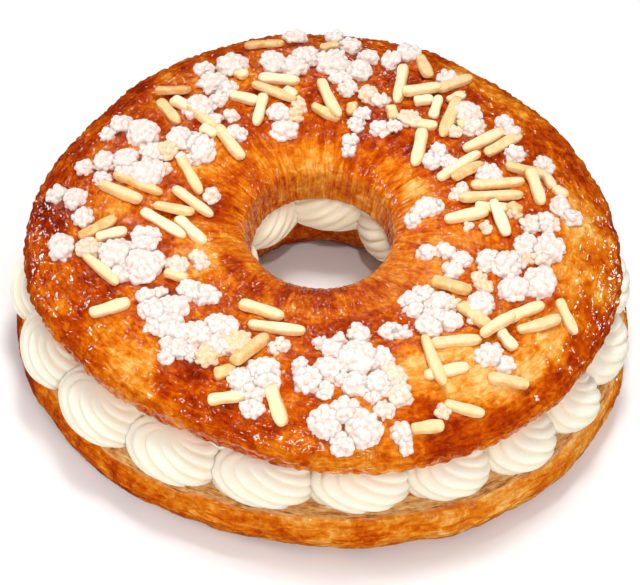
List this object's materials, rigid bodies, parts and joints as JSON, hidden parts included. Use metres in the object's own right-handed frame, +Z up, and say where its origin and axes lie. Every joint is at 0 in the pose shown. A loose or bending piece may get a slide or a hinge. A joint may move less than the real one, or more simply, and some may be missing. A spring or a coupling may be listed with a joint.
{
  "type": "king cake",
  "caption": "Ring-shaped king cake of split brioche with piped whipped cream between its halves, almond slivers and sugar clumps on a glazed domed crust.",
  "frame": {"origin": "middle of the cake's bounding box, on the surface it stands on", "axes": "+Z up through the hole, -Y towards the front, +X to the right"},
  "size_m": [0.2828, 0.281, 0.0782],
  "materials": {
    "glazed_crust": "egg-washed brioche crust, mottled from gold to mahogany, with a sticky gloss",
    "bottom_crust": "browned brioche side with torn pale patches and a tan crumb face",
    "cream": "smooth ivory whipped cream, soft sheen",
    "sugar": "clumped pearl sugar, slightly see-through, faint pink tint",
    "almond": "blanched almond slivers, pale cream to lightly toasted"
  },
  "bodies": {
    "root": {"bottom_half": "bottom_crust", "cream_filling": "cream", "top_half": "glazed_crust", "sugar_clump_01": "sugar", "sugar_clump_02": "sugar", "sugar_clump_03": "sugar", "sugar_clump_04": "sugar", "sugar_clump_05": "sugar", "sugar_clump_06": "sugar", "sugar_clump_07": "sugar", "sugar_clump_08": "sugar", "sugar_clump_09": "sugar", "sugar_clump_10": "sugar", "sugar_clump_11": "sugar", "sugar_clump_12": "sugar", "sugar_clump_13": "sugar", "sugar_clump_14": "sugar", "sugar_clump_15": "sugar", "sugar_clump_16": "sugar", "sugar_clump_17": "sugar", "sugar_clump_18": "sugar", "sugar_clump_19": "sugar", "sugar_clump_20": "sugar", "sugar_clump_21": "sugar", "sugar_clump_22": "sugar", "sugar_clump_23": "sugar", "sugar_clump_24": "sugar"}
  },
  "joints": []
}
